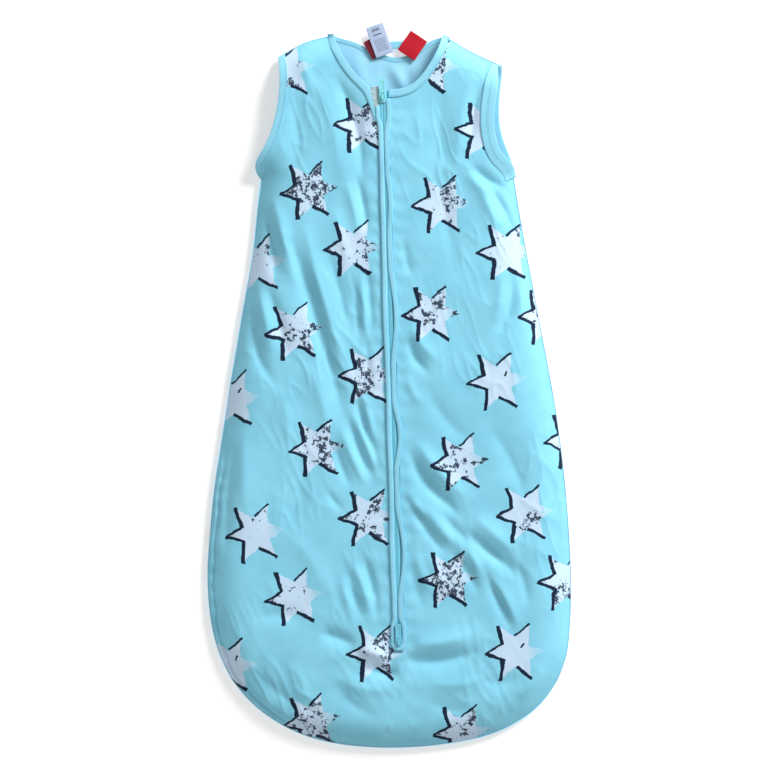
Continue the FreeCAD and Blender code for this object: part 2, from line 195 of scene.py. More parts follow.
# Folds in the front: points along the crest, height (below 0 for a valley) and half-width.
FOLDS = [
    # The left of the chest, and the long folds that run from the left armhole to the zip.
    ([(-58, 350), (-43, 309), (-31, 262), (-30, 224)], -3.6, 8),
    ([(-78, 345), (-64, 300), (-50, 226)], 2.2, 13),
    ([(-142, 204), (-135, 180), (-127, 152), (-124, 120)], -4.2, 7),
    ([(-128, 214), (-114, 160), (-101, 112)], 3.2, 8),
    ([(-110, 174), (-96, 130), (-80, 84), (-68, 40), (-50, -30)], -4.6, 7.5),
    ([(-94, 186), (-80, 130), (-62, 66), (-46, 6)], 3.4, 9),
    ([(-134, 116), (-122, 78), (-112, 36)], -3.2, 7),
    ([(-146, 120), (-136, 80), (-128, 40)], 2.4, 7),
    ([(-157, 106), (-150, 66), (-142, 33), (-124, 6)], -3.6, 7),
    ([(-122, 10), (-112, -30), (-108, -66)], 1.8, 10), ([(-66, 150), (-52, 100), (-40, 56)], -2.0, 6),
    ([(-88, 30), (-74, -10), (-66, -50)], 2.2, 9), ([(-60, 200), (-50, 160), (-42, 130)], 1.6, 8),
    ([(-36, 236), (-28, 204), (-23, 170)], -3.0, 5), ([(-47, 230), (-38, 196), (-33, 168)], 2.0, 6),
    # Close to the zip on its left.
    ([(-24, 134), (-20, 104), (-18, 62)], -3.0, 4.5), ([(-32, 128), (-28, 98), (-26, 64)], 2.2, 4.5),
    ([(-38, 116), (-35, 88), (-33, 52)], -2.0, 4.5), ([(-24, 56), (-22, 20), (-18, -8)], -1.6, 4),
    ([(-36, -8), (-28, -38), (-20, -62)], -3.0, 4.2), ([(-28, -6), (-21, -34), (-14, -58)], 2.2, 3.8),
    ([(-46, -30), (-32, -66), (-16, -102)], -3.2, 4.6), ([(-38, -26), (-24, -62), (-10, -92)], 2.6, 4.2),
    ([(-54, -40), (-40, -74), (-26, -104)], 2.2, 4.6), ([(-22, -48), (-14, -72), (-8, -96)], -2.6, 3.6),
    ([(-62, -54), (-52, -84), (-42, -108)], -2.2, 4.6),
    ([(-68, -110), (-60, -122), (-50, -132)], -1.8, 4),
    ([(-38, -190), (-28, -216), (-20, -246)], 2.6, 4.2),
    ([(-28, -182), (-18, -216), (-12, -254)], -3.0, 4.2),
    ([(-46, -196), (-38, -226), (-30, -254)], -2.4, 4.6),
    ([(-54, -206), (-46, -232), (-40, -256)], 1.8, 4.4),
    # Under the right armhole, and down the right side.
    ([(92, 246), (104, 234), (120, 226), (132, 224)], -4.0, 6),
    ([(84, 240), (98, 224), (116, 212)], 2.2, 7),
    ([(108, 230), (118, 212), (132, 190), (142, 168)], -3.6, 5.5),
    ([(100, 222), (110, 200), (122, 176)], 2.6, 7),
    ([(128, 232), (135, 213), (142, 194)], -2.6, 4),
    ([(135, 128), (135, 104), (130, 84), (120, 60)], -3.2, 6),
    ([(146, 132), (146, 104), (142, 78)], 2.2, 6), ([(122, 132), (122, 104), (114, 72)], 2.0, 7),
    ([(104, 340), (94, 310), (90, 268)], -2.4, 6), ([(92, 348), (80, 300), (72, 230)], 2.0, 11),
    ([(118, 350), (104, 320), (100, 290)], 1.6, 6), ([(60, 330), (56, 290), (62, 240)], -1.8, 11),
    # Close to the zip on its right.
    ([(14, 168), (18, 146), (24, 124)], -2.2, 5), ([(20, 58), (28, 36), (44, 18)], -3.0, 4.8),
    ([(24, 72), (36, 50), (54, 32)], 2.2, 6), ([(16, 24), (22, 4), (36, -16)], 1.6, 5),
    # The folds that fan from the middle of the zip to the lower right.
    ([(20, -64), (40, -102), (60, -121), (80, -140)], -4.4, 6.5),
    ([(30, -54), (52, -86), (84, -118)], 3.2, 8),
    ([(14, -100), (26, -122), (42, -140)], 2.6, 5),
    ([(16, -118), (32, -138), (46, -160), (62, -178)], -3.2, 4.6),
    ([(40, -128), (56, -150), (76, -172)], 2.8, 6), ([(56, -132), (72, -152), (90, -168)], -2.2, 4.6),
    ([(84, -152), (104, -173), (126, -190), (138, -204)], -4.2, 6),
    ([(92, -138), (116, -158), (140, -178)], 2.4, 8),
    ([(80, -168), (102, -198), (120, -224)], 3.4, 6.5),
    ([(96, -186), (113, -215), (126, -243), (134, -262)], -4.4, 5.5),
    ([(112, -204), (128, -230), (142, -260)], 2.8, 7), ([(66, -176), (84, -196), (98, -224)], -2.4, 4.6),
    ([(40, -176), (52, -200), (64, -226)], 1.8, 6), ([(138, -188), (148, -212), (152, -236)], -2.2, 6),
    ([(16, -176), (24, -206), (38, -240)], -1.8, 5.5), ([(24, -166), (34, -196), (50, -226)], 1.6, 6),
    # Round the end of the zip, and the hem.
    ([(12, -296), (45, -299), (78, -293), (104, -284)], -4.6, 9),
    ([(16, -276), (52, -277), (96, -266)], 3.2, 10),
    ([(-34, -282), (-14, -288), (4, -294)], 5.6, 10), ([(-76, -266), (-56, -272), (-36, -280)], -4.4, 8),
    ([(-24, -304), (-8, -309), (10, -312)], -4.2, 6),
    ([(-92, -252), (-120, -246), (-150, -250)], -2.0, 10),
    ([(-60, -312), (-30, -326), (10, -330)], 2.4, 10), ([(40, -322), (80, -322), (112, -312)], 2.2, 9),
    ([(96, -314), (124, -322), (148, -312)], -1.8, 9),
    ([(-172, -318), (-140, -346), (-98, -370)], 2.4, 8),
    ([(-154, -296), (-122, -332), (-74, -356)], -2.4, 9),
    ([(-60, -318), (-44, -342), (-10, -360)], -1.6, 9),
    ([(-110, -300), (-96, -318), (-92, -340)], 1.6, 7), ([(40, -340), (64, -350), (90, -352)], -1.6, 8),
    ([(140, -338), (158, -322), (172, -300)], 1.8, 8), ([(176, -80), (184, -120), (186, -170)], -1.8, 7),
    ([(-172, -60), (-178, -120), (-180, -180)], -2.2, 7),
    ([(-158, -40), (-160, -90), (-158, -130)], 1.8, 10),
    ([(-120, -150), (-90, -180), (-66, -226)], 1.6, 12),
    ([(-92, -84), (-100, -120), (-112, -150)], -1.8, 9),
    ([(40, 10), (60, -30), (96, -60)], -1.8, 9), ([(110, -40), (134, -78), (150, -120)], -1.8, 9),
    ([(-110, 330), (-100, 290), (-104, 240)], -2.0, 9), ([(-96, 372), (-92, 350), (-80, 320)], 1.8, 8),
    ([(50, 240), (64, 180), (70, 130)], -1.6, 10), ([(-20, 300), (-17, 270), (-15, 236)], -2.8, 4.5),
]


def along(points, line):
    """Distance to a short line, and the place along it from 0 to 1."""
    a, d = line[:-1], np.diff(line, axis=0)
    length = np.linalg.norm(d, axis=1)
    before = np.r_[0, np.cumsum(length)[:-1]]
    q = np.clip(((points[:, None] - a) * d).sum(2) / length**2, 0, 1)
    gap = np.sqrt(((points[:, None] - a - q[..., None] * d) ** 2).sum(2))
    k = gap.argmin(1)
    row = np.arange(len(points))
    return gap[row, k], (before[k] + q[row, k] * length[k]) / length.sum()


def waves(points, scale, seed, octaves=1):
    """Soft random heights from about -1 to 1."""
    out = np.zeros(len(points))
    for k in range(octaves):
        f = 2.0**k / scale
        heights = [noise.noise(Vector((x * f, y * f, seed + 7.3 * k))) for x, y in points.tolist()]
        out += np.array(heights) / 2.0**k
    return out


def creases(p):
    """Fine sharp creases, drawn out along the bag's length and leaning a little."""
    drawn = np.stack([p[:, 0] + 0.42 * p[:, 1], 0.26 * p[:, 1] - 0.1 * p[:, 0]], 1)
    drawn += 6.0 * np.stack([waves(p, 60.0, 21.3), waves(p, 64.0, 31.9)], 1)
    ridge = 1 - np.abs(2.4 * waves(drawn, 14.0, 15.2))
    return np.clip(ridge, -0.2, 1) ** 3 * smooth(waves(p, 70.0, 41.0), -0.2, 0.4)


def front_height(p):
    """Height of the front's outer face above what the bag lies on."""
    u, v = unzip(p[:, 0], p[:, 1])
    side = nearest(p, seam_line)
    shoulder = np.minimum(*(nearest(p, line) for line in shoulder_lines))
    trim = np.minimum.reduce([nearest(p, line) for line in trim_lines])
    round_side = 1 - (1 - np.clip(side / SIDE_RUN, 0, 1)) ** 2.6
    round_top = 1 - (1 - np.clip(shoulder / SHOULDER_RUN, 0, 1)) ** 2.4
    z = SEAM_Z + (TOP_Z - 1.0 - SEAM_Z) * round_side * round_top
    calm = smooth(np.abs(u), 9, 26)
    calm = np.where((v > 312) | (v < -308), 1.0, calm)
    edge = smooth(side, 2, 20) * smooth(shoulder, 2, 18) * smooth(trim, 4, 20)
    bumps = np.zeros(len(p))
    for points, height, width in FOLDS:
        line = curve(points, count=9)
        low, high = line.min(0) - 3 * width, line.max(0) + 3 * width
        near = np.nonzero(((p > low) & (p < high)).all(1))[0]
        if len(near):
            gap, place = along(p[near], line)
            fade = np.sin(np.pi * np.clip(place, 0.02, 0.98)) ** 0.8
            bumps[near] += FOLD_GAIN * height * fade * np.exp(-((gap / width) ** 1.5))
    bumps += 1.5 * waves(p, 95.0, 3.1) + 0.8 * waves(p, 34.0, 8.7) + 0.95 * creases(p)
    # Over the tapes the cloth can't sink.
    lowest = -0.5 - 0.4 * (np.abs(u) - 12).clip(0)
    bumps = np.where((v > -312) & (np.abs(u) < 24), np.maximum(bumps, lowest), bumps)
    pucker = 0.45 * np.sin(v / 3.1 + 1.4 * np.sin(v / 23.0)) * np.exp(-((np.abs(u) - 11).clip(0) / 9.0))
    pucker *= smooth(np.abs(u), 8, 11)
    # The puckered side seam, which lies a little inside the left edge.
    groove = np.exp(-(((side - 7.5 - 0.8 * np.sin(p[:, 1] / 8.0)) / 2.0) ** 2))
    seam = groove - 0.5 * np.exp(-(((side - 3.5) / 2.0) ** 2))
    seam *= smooth(-p[:, 0], 90, 130) * smooth(p[:, 1], -50, -110)
    ruffle = np.sin(p[:, 1] / 3.4 + 1.6 * np.sin(p[:, 1] / 17.0)) * np.exp(-(((side - 7) / 6.0) ** 2))
    ruffle *= smooth(-p[:, 0], 120, 150) * smooth(p[:, 1], -50, -110)
    z += 0.5 * ruffle - 2.1 * seam
    rim = 0.9 * waves(p, 22.0, 12.4) * np.exp(-side / 14.0) * smooth(side, 0, 4)
    return z + (bumps * calm + pucker) * edge + rim


def back_height(p):
    """Height of the back, which curves up to the side seam and the shoulders."""
    side = nearest(p, seam_line)
    shoulder = np.minimum(*(nearest(p, line) for line in shoulder_lines))
    rise = (1 - np.clip(side / 16.0, 0, 1)) ** 2 + (1 - np.clip(shoulder / 14.0, 0, 1)) ** 2
    return BACK_Z + (SEAM_Z - BACK_Z) * np.clip(rise, 0, 1)


# ---------------------------------------------------------------- materials


def tree(name):
    """A new material with an empty node tree."""
    m = bpy.data.materials.new(name)
    m.use_nodes = True
    nt = m.node_tree
    nt.nodes.clear()
    return m, nt


class Wiring:
    """Short hands for making node trees."""

    def __init__(self, nt):
        self.nt = nt

    def node(self, kind, **props):
        n = self.nt.nodes.new(kind)
        for k, v in props.items():
            setattr(n, k, v)
        return n

    def put(self, socket, value):
        if isinstance(value, bpy.types.NodeSocket):
            self.nt.links.new(value, socket)
        else:
            socket.default_value = value

    def math(self, op, a, b=0.0, c=0.0, clamp=False):
        n = self.node("ShaderNodeMath", operation=op, use_clamp=clamp)
        for s, v in zip(n.inputs, (a, b, c)):
            self.put(s, v)
        return n.outputs[0]

    def step(self, value, low, high):
        n = self.node("ShaderNodeMapRange", interpolation_type="SMOOTHSTEP")
        self.put(n.inputs["Value"], value)
        n.inputs["From Min"].default_value, n.inputs["From Max"].default_value = low, high
        return n.outputs[0]

    def mix(self, amount, a, b):
        n = self.node("ShaderNodeMix", data_type="RGBA")
        self.put(n.inputs[0], amount)
        self.put(n.inputs[6], a)
        self.put(n.inputs[7], b)
        return n.outputs[2]

    def noise(self, vector, scale, detail=2.0, rough=0.5, w=None):
        n = self.node("ShaderNodeTexNoise")
        if w is not None:
            n.noise_dimensions = "4D"
            self.put(n.inputs["W"], w)
        self.put(n.inputs["Vector"], vector)
        n.inputs["Scale"].default_value, n.inputs["Detail"].default_value = scale, detail
        n.inputs["Roughness"].default_value = rough
        return n.outputs[0]

    def principled(self, colour, rough, bump=None, strength=0.2, distance=0.0005, **fixed):
        p = self.node("ShaderNodeBsdfPrincipled")
        self.put(p.inputs["Base Color"], colour)
        self.put(p.inputs["Roughness"], rough)
        for k, v in fixed.items():
            p.inputs[k.replace("_", " ")].default_value = v
        if bump is not None:
            b = self.node("ShaderNodeBump")
            b.inputs["Strength"].default_value, b.inputs["Distance"].default_value = strength, distance
            self.put(b.inputs["Height"], bump)
            self.nt.links.new(b.outputs[0], p.inputs["Normal"])
        out = self.node("ShaderNodeOutputMaterial")
        self.nt.links.new(p.outputs[0], out.inputs[0])
        return p


def rgb(r, g, b):
    """A colour as seen on a screen, from 0 to 255, to the shader's numbers."""
    lin = [(c / 12.92 if c <= 0.04045 else ((c + 0.055) / 1.055) ** 2.4)
           for c in (r / 255, g / 255, b / 255)]
    return (*lin, 1.0)


AQUA, AQUA_DEEP = rgb(137, 212, 237), rgb(129, 204, 230)
NAVY, WHITE = rgb(6, 30, 56), rgb(196, 222, 246)


def knit_height(w, coords):
    """The relief of a fine jersey: its wales, and a little fuzz."""
    wales = w.node("ShaderNodeTexWave", wave_type="BANDS", bands_direction="X")
    w.put(wales.inputs["Vector"], coords)
    wales.inputs["Scale"].default_value, wales.inputs["Distortion"].default_value = 380.0, 1.2
    wales.inputs["Detail"].default_value = 1.0
    return w.math("ADD", w.math("MULTIPLY", wales.outputs[0], 0.6), w.noise(coords, 1500.0, 3.0, 0.6))


def fabric(name, colour, deep, printed=False, bump_strength=0.16):
    """Soft jersey, with the star print if printed."""
    m, nt = tree(name)
    w = Wiring(nt)
    coords = w.node("ShaderNodeTexCoord").outputs["Object"]
    tone = w.mix(w.step(w.noise(coords, 26.0, 3.0, 0.6), 0.35, 0.7), colour, deep)
    if printed:
        tone = star_print(w, coords, tone)
    w.principled(tone, 0.88, knit_height(w, coords), bump_strength, 0.0004, Sheen_Weight=0.12,
                 Sheen_Roughness=0.5, Specular_IOR_Level=0.22)
    return m


def star_distance(w, x, y):
    """Below 0 inside a six-pointed star of radius 1."""
    r = w.math("SQRT", w.math("ADD", w.math("MULTIPLY", x, x), w.math("MULTIPLY", y, y)))
    angle = w.math("ADD", w.math("ARCTAN2", y, x), math.pi / 6 + 2 * math.pi)
    sector = w.math("ABSOLUTE", w.math("SUBTRACT", w.math("MODULO", angle, math.pi / 3), math.pi / 6))
    px = w.math("MULTIPLY", r, w.math("COSINE", sector))
    py = w.math("MULTIPLY", r, w.math("SINE", sector))
    return w.math("ADD", w.math("MULTIPLY", w.math("SUBTRACT", px, 1.0), 0.4034),
                  w.math("MULTIPLY", py, 0.915))


def stroke_distance(w, x, y, a, b, half):
    """Below 0 inside a square-ended stroke from a to b."""
    length = math.dist(a, b)
    dx, dy = (b[0] - a[0]) / length, (b[1] - a[1]) / length
    middle = a[0] * dx + a[1] * dy
    run = w.math("MULTIPLY_ADD", x, dx, w.math("MULTIPLY_ADD", y, dy, -middle - length / 2))
    across = w.math("MULTIPLY_ADD", x, -dy, w.math("MULTIPLY_ADD", y, dx, a[0] * dy - a[1] * dx))
    over_run = w.math("SUBTRACT", w.math("ABSOLUTE", run), length / 2)
    return w.math("MAXIMUM", over_run, w.math("SUBTRACT", w.math("ABSOLUTE", across), half))


# The navy brush strokes round a star of radius 1: start, end and half-width.
STROKES = [((-0.57, 0.95), (-0.47, 0.22), 0.07), ((-0.42, 0.28), (-1.05, 0.0), 0.044),
           ((-1.08, 0.01), (-0.42, -0.28), 0.054), ((-0.46, -0.22), (-0.58, -0.96), 0.068),
           ((0.0, 0.55), (0.53, 0.94), 0.036), ((-0.03, -0.53), (0.54, -0.93), 0.058)]
LONE_STROKE = ((0.2, 0.15), (0.31, 0.31), 0.034)


def star_print(w, coords, ground):
    """Worn white stars with navy brush strokes along their left-hand edges."""
    star = w.node("ShaderNodeAttribute", attribute_name="star").outputs["Vector"]
    split = w.node("ShaderNodeSeparateXYZ")
    w.put(split.inputs[0], star)
    x, y, seed = split.outputs
    wear = w.math("FRACT", seed)
    wobble_x = w.math("MULTIPLY", w.math("SUBTRACT", w.noise(coords, 52.0, 2.0), 0.5), 0.24)
    wobble_y = w.math("MULTIPLY", w.math("SUBTRACT", w.noise(coords, 58.0, 2.0, w=4.0), 0.5), 0.24)
    x, y = w.math("ADD", x, wobble_x), w.math("ADD", y, wobble_y)
    white = star_distance(w, x, y)
    rough = w.math("SUBTRACT", w.noise(coords, 620.0, 3.0, 0.7), 0.5)
    is_white = w.step(w.math("MULTIPLY_ADD", rough, 0.06, white), 0.012, -0.012)
    navy = 9.0
    for a, b, half in STROKES:
        navy = w.math("MINIMUM", stroke_distance(w, x, y, a, b, half), navy)
    lone = w.math("ADD", stroke_distance(w, x, y, *LONE_STROKE), w.step(wear, 0.04, 0.08))
    navy = w.math("MINIMUM", navy, lone)
    is_navy = w.step(w.math("MULTIPLY_ADD", rough, 0.05, navy), 0.01, -0.01)
    # The right-hand arm is so pale that it all but fades into the ground.
    fade = w.math("MULTIPLY", w.step(x, 0.3, 0.85), w.step(w.math("ABSOLUTE", y), 0.4, 0.1))
    patch = w.noise(coords, 62.0, 2.0, 0.5, w=seed)
    grain = w.noise(coords, 175.0, 4.0, 0.74, w=seed)
    worn = w.step(w.math("ADD", patch, w.math("MULTIPLY_ADD", wear, 0.3, -0.2)), 0.44, 0.56)
    fleck = w.step(w.math("MULTIPLY_ADD", worn, 0.135, grain), 0.636, 0.648)
    fleck = w.math("MULTIPLY", fleck, w.step(wear, 0.04, 0.12))
    chip = w.step(w.noise(coords, 420.0, 3.0, 0.7, w=3.0), 0.69, 0.72)
    white_tone = w.mix(w.math("MAXIMUM", w.math("MULTIPLY", fade, 0.7), w.math("MULTIPLY", chip, 0.7)),
                       WHITE, ground)
    tone = w.mix(is_white, ground, white_tone)
    tone = w.mix(w.math("MULTIPLY", is_white, w.math("MULTIPLY", fleck, 0.93)), tone, NAVY)
    return w.mix(is_navy, tone, NAVY)


def plain(name, colour, rough, metallic=0.0, bump_scale=None, strength=0.2, variation=0.04, **fixed):
    m, nt = tree(name)
    w = Wiring(nt)
    coords = w.node("ShaderNodeTexCoord").outputs["Object"]
    dark = tuple(c * (1 - 3 * variation) for c in colour[:3]) + (1.0,)
    tone = w.mix(w.step(w.noise(coords, 90.0, 3.0), 0.3, 0.75), colour, dark)
    roughness = w.math("ADD", w.math("MULTIPLY", w.noise(coords, 240.0, 2.0), 0.12), rough - 0.06)
    bump = w.noise(coords, bump_scale, 3.0) if bump_scale else None
    w.principled(tone, roughness, bump, strength, 0.0003, Metallic=metallic, **fixed)
    return m


def ribbed(name, colour, deep, scale, direction="X", strength=0.4, rotation=0.0, rough=0.85):
    """Cloth with fine ribs or ticks across it."""
    m, nt = tree(name)
    w = Wiring(nt)
    coords = w.node("ShaderNodeTexCoord").outputs["Object"]
    turned = w.node("ShaderNodeMapping")
    w.put(turned.inputs["Vector"], coords)
    turned.inputs["Rotation"].default_value = (0, 0, rotation)
    ribs = w.node("ShaderNodeTexWave", wave_type="BANDS", bands_direction=direction)
    w.put(ribs.inputs["Vector"], turned.outputs[0])
    ribs.inputs["Scale"].default_value, ribs.inputs["Distortion"].default_value = scale, 0.6
    tone = w.mix(w.math("MULTIPLY", ribs.outputs[0], 0.35), colour, deep)
    tone = w.mix(w.step(w.noise(coords, 40.0, 2.0), 0.35, 0.75), tone, w.mix(0.35, tone, deep))
    height = w.math("ADD", ribs.outputs[0], w.noise(coords, 1300.0, 2.0))
    w.principled(tone, rough, height, strength, 0.0004, Sheen_Weight=0.1, Specular_IOR_Level=0.2)
    return m


star_jersey = fabric("star_jersey", AQUA, AQUA_DEEP, printed=True)
lining_jersey = fabric("lining_jersey", rgb(158, 218, 243), rgb(150, 210, 236), bump_strength=0.12)
binding_knit = fabric("binding_knit", rgb(144, 213, 238), rgb(136, 205, 230), bump_strength=0.2)
thread = plain("thread", rgb(112, 186, 204), 0.7)
tape_weave = ribbed("tape_weave", rgb(120, 206, 230), rgb(96, 180, 208), 260.0, "Y", rotation=-LEAN)
facing_weave = ribbed("facing_weave", rgb(196, 224, 228), rgb(150, 188, 196), 200.0, "Y", 0.7, -LEAN)
coil_nylon = plain("coil_nylon", rgb(150, 222, 240), 0.42)
enamel = plain("enamel", rgb(140, 226, 238), 0.34, 0.0, 500.0, 0.05, Coat_Weight=0.25,
               Coat_Roughness=0.25)
enamel_low = plain("enamel_low", rgb(118, 206, 232), 0.34, 0.0, 500.0, 0.05, Coat_Weight=0.25,
                   Coat_Roughness=0.25)
red_satin = ribbed("red_satin", rgb(202, 24, 44), rgb(160, 8, 28), 500.0, "X", 0.15, 0.5, 0.6)
maroon_satin = ribbed("maroon_satin", rgb(118, 24, 44), rgb(84, 12, 30), 500.0, "X", 0.15, -0.4, 0.6)


def care_material():
    """White satin tape with blocks of grey print that is too small to read."""
    m, nt = tree("care_print")
    w = Wiring(nt)
    split = w.node("ShaderNodeSeparateXYZ")
    w.put(split.inputs[0], w.node("ShaderNodeAttribute", attribute_name="tape").outputs["Vector"])
    x, y, _ = split.outputs
    rows = w.math("FRACT", w.math("MULTIPLY", y, 0.62))
    in_row = w.math("MULTIPLY", w.step(rows, 0.28, 0.36), w.step(rows, 0.86, 0.78))
    flat = w.node("ShaderNodeCombineXYZ")
    w.put(flat.inputs[0], w.math("MULTIPLY", x, 1.5))
    w.put(flat.inputs[1], w.math("MULTIPLY", w.math("FLOOR", w.math("MULTIPLY", y, 0.62)), 7.7))
    letters = w.step(w.noise(flat.outputs[0], 1.3, 1.0), 0.44, 0.5)
    margin = w.step(w.math("ABSOLUTE", x), 7.2, 6.6)
    block = w.math("MULTIPLY", w.step(y, 3.0, 3.4), w.step(y, 18.4, 18.0))
    lone = w.math("MULTIPLY", w.step(w.math("ABSOLUTE", w.math("SUBTRACT", y, 22.4)), 0.62, 0.5),
                  w.step(w.math("ABSOLUTE", x), 5.0, 4.6))
    head = w.math("MULTIPLY", w.step(w.math("ABSOLUTE", w.math("SUBTRACT", y, 28.0)), 1.5, 1.3),
                  w.step(w.math("ABSOLUTE", x), 4.6, 4.2))
    ink = w.math("MULTIPLY", w.math("MULTIPLY", in_row, letters), w.math("MULTIPLY", margin, block))
    ink = w.math("MAXIMUM", w.math("MULTIPLY", ink, 0.85),
                 w.math("MAXIMUM", lone, w.math("MULTIPLY", head, letters)))
    tone = w.mix(w.math("MULTIPLY", ink, 0.95), rgb(176, 194, 224), rgb(60, 68, 96))
    coords = w.node("ShaderNodeTexCoord").outputs["Object"]
    w.principled(tone, 0.55, w.noise(coords, 900.0, 2.0), 0.1, 0.0002, Specular_IOR_Level=0.3)
    return m


care_print = care_material()

# ---------------------------------------------------------------- meshes


def made(name, verts, faces, material, body="bag"):
    """A shown piece from vertices in millimetres."""
    mesh = bpy.data.meshes.new(name)
    mesh.from_pydata((np.asarray(verts, float) * MM).tolist(), [], [list(map(int, f)) for f in faces])
    mesh.validate()
    mesh.shade_smooth()
    mesh.materials.append(material)
    ob = bpy.data.objects.new(name, mesh)
    scene.collection.objects.link(ob)
    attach(ob, body)
    return ob


def quads(nt, ns):
    """The faces of a grid of nt rows of ns points."""
    k = np.arange(nt * ns).reshape(nt, ns)
    return np.stack([k[:-1, :-1], k[:-1, 1:], k[1:, 1:], k[1:, :-1]], -1).reshape(-1, 4)


def slab(name, top, low, nt, ns, material, slot, body="bag"):
    """A thin closed sheet between two grids of nt rows of ns points."""
    faces, n = quads(nt, ns), nt * ns
    k = np.arange(n).reshape(nt, ns)
    ring = np.r_[k[0], k[1:, -1], k[-1, ::-1][1:], k[::-1, 0][1:-1]]
    wall = [[ring[i], ring[i - 1], ring[i - 1] + n, ring[i] + n] for i in range(len(ring))]
    skin = faces.tolist() + (faces[:, ::-1] + n).tolist()
    verts = np.vstack([top.reshape(-1, 3), low.reshape(-1, 3)])
    return made(name, verts, skin + wall, material, body)


# The middle of each printed star, how far it is turned, in radians, and its radius.
STARS = [(-111, 351), (-27, 292), (47, 357), (105, 284), (-86, 219), (59, 204), (-144, 140),
         (-38, 156), (130, 152), (-102, 65), (48, 84), (175, 81), (-171, -9), (-22, 16), (120, 10),
         (-77, -63), (79, -79), (204, -55), (-145, -156), (-21, -139), (151, -135), (-102, -226),
         (67, -207), (197, -210), (-175, -303), (-13, -288), (139, -287), (-84, -364), (82, -376)]
STAR_TURN = [0.2, 0.05, -0.1, -0.05, 0.14, 0.06, 0.12, 0.05, 0.06, 0.14, 0.05, 0.04, 0.1, 0.02, 0.1,
             0.1, 0.1, 0.1, 0.16, 0.04, 0.12, 0.14, 0.04, 0.04, 0.1, 0.03, 0.04, 0.2, 0.1]
# How much navy wear each star's white has, from 0 to 0.9.
STAR_WEAR = [0.4, 0.6, 0.7, 0.1, 0.8, 0.65, 0.3, 0.5, 0.25, 0.45, 0.85, 0.5, 0.0, 0.6, 0.0, 0.75, 0.6,
             0.3, 0.35, 0.6, 0.3, 0.45, 0.9, 0.6, 0.0, 0.6, 0.0, 0.75, 0.6]
STAR_R = 32.0


def add_stars(ob, stars, turn):
    """Gives each face corner its place in the star nearest to the face."""
    mesh = ob.data
    n = len(mesh.loops)
    index = np.empty(n, int)
    mesh.loops.foreach_get("vertex_index", index)
    co = np.empty(3 * len(mesh.vertices))
    mesh.vertices.foreach_get("co", co)
    co = co.reshape(-1, 3)[:, :2] / MM
    start, total = np.empty(len(mesh.polygons), int), np.empty(len(mesh.polygons), int)
    mesh.polygons.foreach_get("loop_start", start)
    mesh.polygons.foreach_get("loop_total", total)
    centre = np.add.reduceat(co[index], start) / total[:, None]
    stars, turn = np.array(stars, float), np.array(turn)
    which = ((centre[:, None] - stars) ** 2).sum(2).argmin(1)
    which = np.repeat(which, total)
    d = (co[index] - stars[which]) / STAR_R
    c, s = np.cos(turn[which]), np.sin(turn[which])
    value = np.stack([d[:, 0] * c + d[:, 1] * s, d[:, 1] * c - d[:, 0] * s,
                      which + np.array(STAR_WEAR)[which] + 0.02], 1)
    attribute = mesh.attributes.new("star", "FLOAT_VECTOR", "CORNER")
    attribute.data.foreach_set("vector", value.astype(np.float32).ravel())


def panel(name, top, left, right, height, ns, nt, material, lift=0.0, slit=True, stars=False):
    """One layer of cloth, a grid between the outlines at the height that height gives."""
    grid = coons(hem, top, left, right, ns, nt, lambda q: q - 0.02 * np.sin(2 * np.pi * q), lambda q: q)
    flat = grid.reshape(-1, 2)
    z = height(flat) + lift
    faces = quads(nt, ns)
    if slit:
        mid = flat[faces].mean(1)
        u, v = unzip(mid[:, 0], mid[:, 1])
        faces = faces[~((np.abs(u - SLIT_U) < SLIT_HALF) & (v > SLIT_LOW))]
    used = np.unique(faces)
    new = np.full(len(flat), -1)
    new[used] = np.arange(len(used))
    ob = made(name, np.c_[flat, z][used], new[faces], material)
    if stars:
        add_stars(ob, STARS if slit else [(-x + 18, y + 31) for x, y in STARS], STAR_TURN)
    return ob


def strip(name, line, half, thick, material, power=0.6, tilt=None):
    """A soft band along a line in space, wide in plan and rounded in section.

    half may vary along the line, and tilt leans the band across it.
    """
    line = np.asarray(line, float)
    n = len(line)
    half = np.broadcast_to(np.asarray(half, float), (n,))
    t = np.gradient(line, axis=0)
    t /= np.linalg.norm(t, axis=1)[:, None]
    side = np.cross(t, (0, 0, 1))
    side /= np.linalg.norm(side, axis=1)[:, None]
    up = np.cross(side, t)
    if tilt is not None:
        lean = np.broadcast_to(np.asarray(tilt, float), (n,))[:, None]
        side, up = side * np.cos(lean) + up * np.sin(lean), up * np.cos(lean) - side * np.sin(lean)
    sides = BAND_SIDES
    a = np.linspace(0, 2 * np.pi, sides, endpoint=False)
    ca = np.sign(np.cos(a)) * np.abs(np.cos(a)) ** power
    sa = np.sign(np.sin(a)) * np.abs(np.sin(a)) ** power
    rings = line[:, None] + side[:, None] * half[:, None, None] * ca[None, :, None]
    rings = rings + up[:, None] * (thick / 2) * sa[None, :, None]
    verts = rings.reshape(-1, 3)
    k = np.arange(n * sides).reshape(n, sides)
    nxt = np.roll(k, -1, 1)
    faces = np.stack([k[:-1], k[1:], nxt[1:], nxt[:-1]], -1).reshape(-1, 4).tolist()
    faces += [k[0].tolist(), k[-1][::-1].tolist()]
    return made(name, verts, faces, material)


def joined(name, parts, material):
    """One piece from several lists of vertices and faces."""
    verts, faces, at = [], [], 0
    for v, f in parts:
        verts.append(v)
        faces += [[int(i) + at for i in face] for face in f]
        at += len(v)
    return made(name, np.vstack(verts), faces, material)


